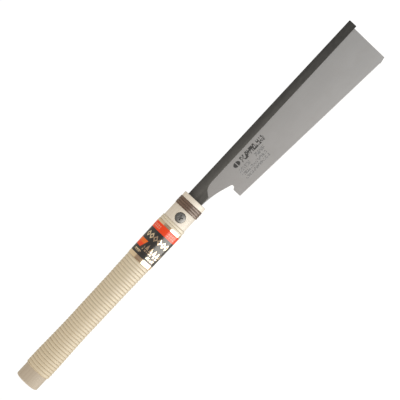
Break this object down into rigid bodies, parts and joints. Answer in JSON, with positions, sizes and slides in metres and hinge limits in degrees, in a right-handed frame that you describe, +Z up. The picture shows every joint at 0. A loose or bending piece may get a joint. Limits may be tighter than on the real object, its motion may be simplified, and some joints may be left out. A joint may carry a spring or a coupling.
{
  "type": "japanese back saw",
  "caption": "Pull saw with a thin toothed plate in a folded steel back, its tang clamped in an oval rattan-wound handle by one cross-recess screw.",
  "frame": {"origin": "centre of the handle's butt end face, on the handle's long axis", "axes": "+X along the handle and the steel back towards the toe; +Z up through the back, so the teeth face -Z; the blade lies in the plane Y = 0 and the clamp screw's head is on the -Y side"},
  "size_m": [0.5104, 0.0252, 0.0601],
  "materials": {
    "bare_wood": "pale close-grained wood, sanded and lightly waxed",
    "rattan": "split rattan, natural glossy skin outwards",
    "foil": "printed metallised film, black and orange-red with silver ends",
    "cord": "dark brown stained flat rattan, glossy",
    "plate_steel": "ground spring steel, satin, fine lines along the plate",
    "back_steel": "blackened steel, satin",
    "screw_steel": "dark oxide, satin"
  },
  "bodies": {
    "handle": {"handle_core": "bare_wood", "grip_wrap": "rattan", "foil_label": "foil", "binding_cord": "cord"},
    "blade": {"blade_plate": "plate_steel", "folded_back": "back_steel"},
    "screw": {"clamp_screw": "screw_steel"},
    "nut": {"sleeve_nut": "screw_steel"}
  },
  "joints": [
    {"name": "blade_draw", "type": "slide", "parent": "handle", "child": "blade", "axis": [1, 0, 0], "range_m": [0, 0.031]},
    {"name": "screw_turn", "type": "hinge", "parent": "handle", "child": "screw", "pos_m": [0.237, 0, -0.001], "axis": [0, -1, 0], "range_deg": [0, 1080]},
    {"name": "nut_travel", "type": "slide", "parent": "handle", "child": "nut", "axis": [0, 1, 0], "range_m": [0, 0.0024]}
  ],
  "couplings": [
    {"joint": "screw_turn", "follows": "nut_travel", "rad_per_m": 7854}
  ]
}
